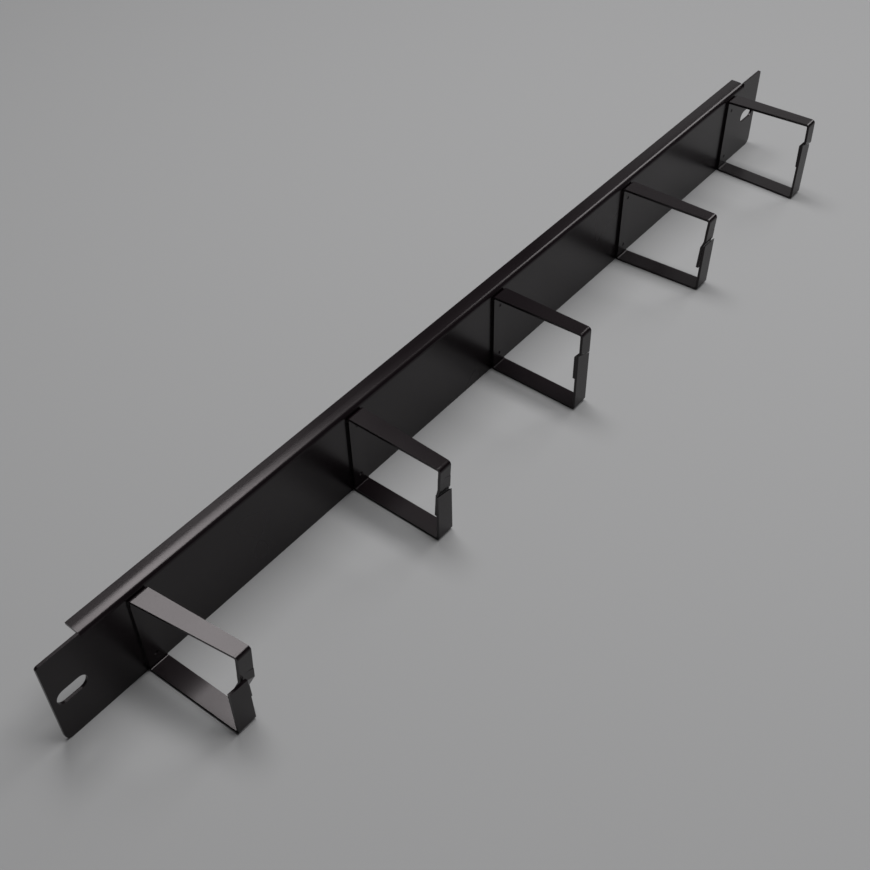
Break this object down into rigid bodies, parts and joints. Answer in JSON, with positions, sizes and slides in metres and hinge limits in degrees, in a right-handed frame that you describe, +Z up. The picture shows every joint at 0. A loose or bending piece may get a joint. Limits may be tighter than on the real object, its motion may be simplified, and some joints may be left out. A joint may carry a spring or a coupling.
{
  "type": "horizontal cable manager",
  "caption": "Horizontal cable manager: a folded sheet-steel rack panel with a mounting slot in each ear and a row of bent-strip rings in front that hold cables.",
  "frame": {"origin": "centre of the panel's rear face, midway between the two mounting slots and at half the panel's height", "axes": "+X along the panel to the right as seen from the front, +Y into the rack, -Y out towards the cables, +Z up"},
  "size_m": [0.4826, 0.0533, 0.044],
  "materials": {
    "powder_coat": "semi-gloss black powder coat"
  },
  "bodies": {
    "root": {"front_panel": "powder_coat", "cable_ring_1": "powder_coat", "cable_ring_2": "powder_coat", "cable_ring_3": "powder_coat", "cable_ring_4": "powder_coat", "cable_ring_5": "powder_coat"}
  },
  "joints": []
}
